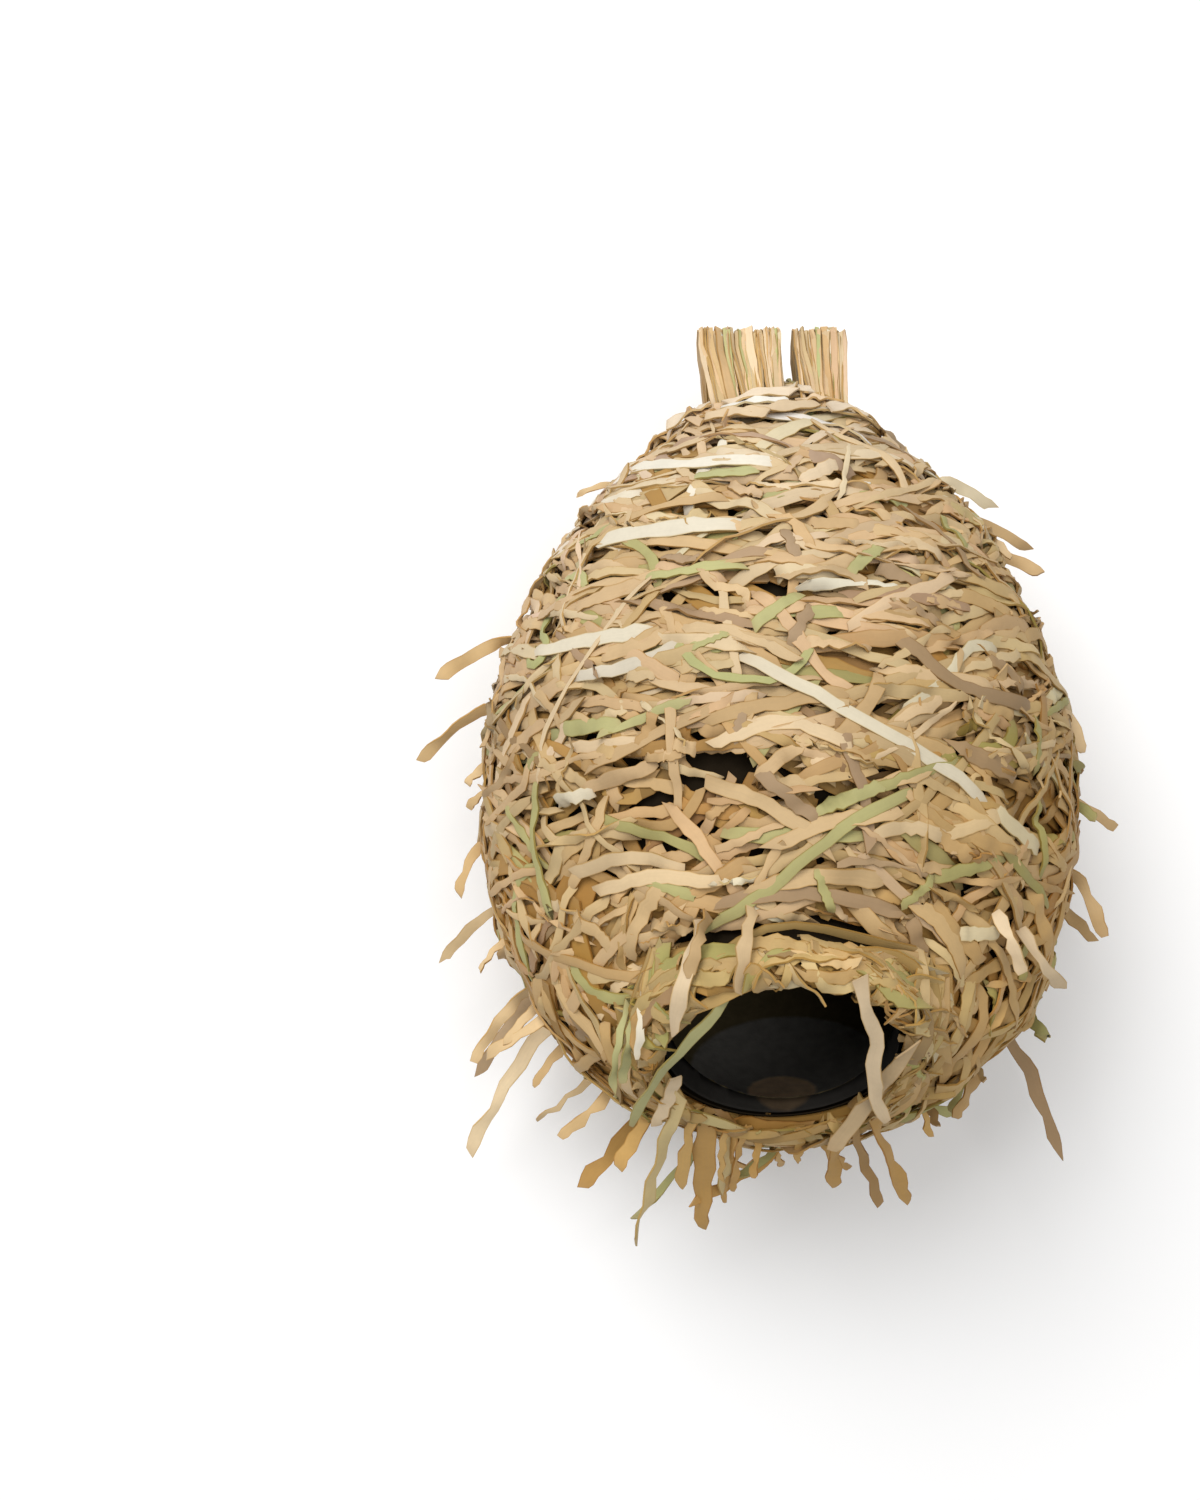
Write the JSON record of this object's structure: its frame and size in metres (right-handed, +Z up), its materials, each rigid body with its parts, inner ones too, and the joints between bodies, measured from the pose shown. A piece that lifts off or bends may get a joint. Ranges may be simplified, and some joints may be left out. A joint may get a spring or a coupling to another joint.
{
  "type": "empty bird nest",
  "caption": "Empty hanging weaver nest: hollow egg-shaped chamber of woven grass strips, round entrance collar low at the front and two grass loops that held it to a twig.",
  "frame": {"origin": "centre of the flat patch that the nest's back rests on, under its widest section", "axes": "+Z up, out of the nest's front; +Y along the nest's axis from belly to hanging loops; +X to the nest's right as seen from its front"},
  "size_m": [0.1644, 0.2114, 0.1361],
  "materials": {
    "woven_strips": "dry woven grass and palm strips, matt, straw beige with tan, grey-brown and green strips",
    "coiled_strips": "dry strips coiled tightly round the entrance, matt, straw to tan",
    "loop_strands": "stripped grass strands bent over a twig, matt, straw with brown and green strands",
    "dry_straw": "single dry strip ends, slightly glossy on the face, frayed at the tip",
    "green_straw": "single strip ends still green, slightly glossy"
  },
  "bodies": {
    "root": {"chamber_wall": "woven_strips", "entrance_collar": "coiled_strips", "loop_left_strand_1": "loop_strands", "loop_left_strand_2": "loop_strands", "loop_left_strand_3": "loop_strands", "loop_left_strand_4": "loop_strands", "loop_left_strand_5": "loop_strands", "loop_right_strand_1": "loop_strands", "loop_right_strand_2": "loop_strands", "loop_right_strand_3": "loop_strands", "straw_bottom_brown": "dry_straw", "straw_bottom_green": "green_straw", "straw_bottom_orange": "dry_straw", "straw_bottom_right": "dry_straw", "straw_bottom_right_brown": "dry_straw", "straw_bottom_right_long": "dry_straw", "straw_bottom_thin_back": "dry_straw", "straw_bottom_white_long": "dry_straw", "straw_bottom_white_thin": "dry_straw", "straw_bottom_wide_tan": "dry_straw", "straw_left_belly_dark": "dry_straw", "straw_left_belly_front": "dry_straw", "straw_left_belly_long": "dry_straw", "straw_left_crown": "dry_straw", "straw_left_lower_back": "dry_straw", "straw_left_lower_front": "dry_straw", "straw_left_middle": "dry_straw", "straw_left_middle_back": "dry_straw", "straw_left_shoulder": "dry_straw", "straw_left_under": "dry_straw", "straw_left_under_back": "dry_straw", "straw_left_under_front": "dry_straw", "straw_left_upper_long": "dry_straw", "straw_left_waist": "dry_straw", "straw_left_zigzag": "dry_straw", "straw_right_belly_green": "green_straw", "straw_right_crown": "dry_straw", "straw_right_crown_long": "dry_straw", "straw_right_crown_tip": "dry_straw", "straw_right_grey_long": "dry_straw", "straw_right_shoulder": "dry_straw", "straw_right_shoulder_green": "green_straw", "straw_right_under": "dry_straw", "straw_right_under_green": "green_straw", "straw_right_upper": "dry_straw", "straw_right_waist_back": "dry_straw", "straw_right_waist_tan": "dry_straw"}
  },
  "joints": []
}
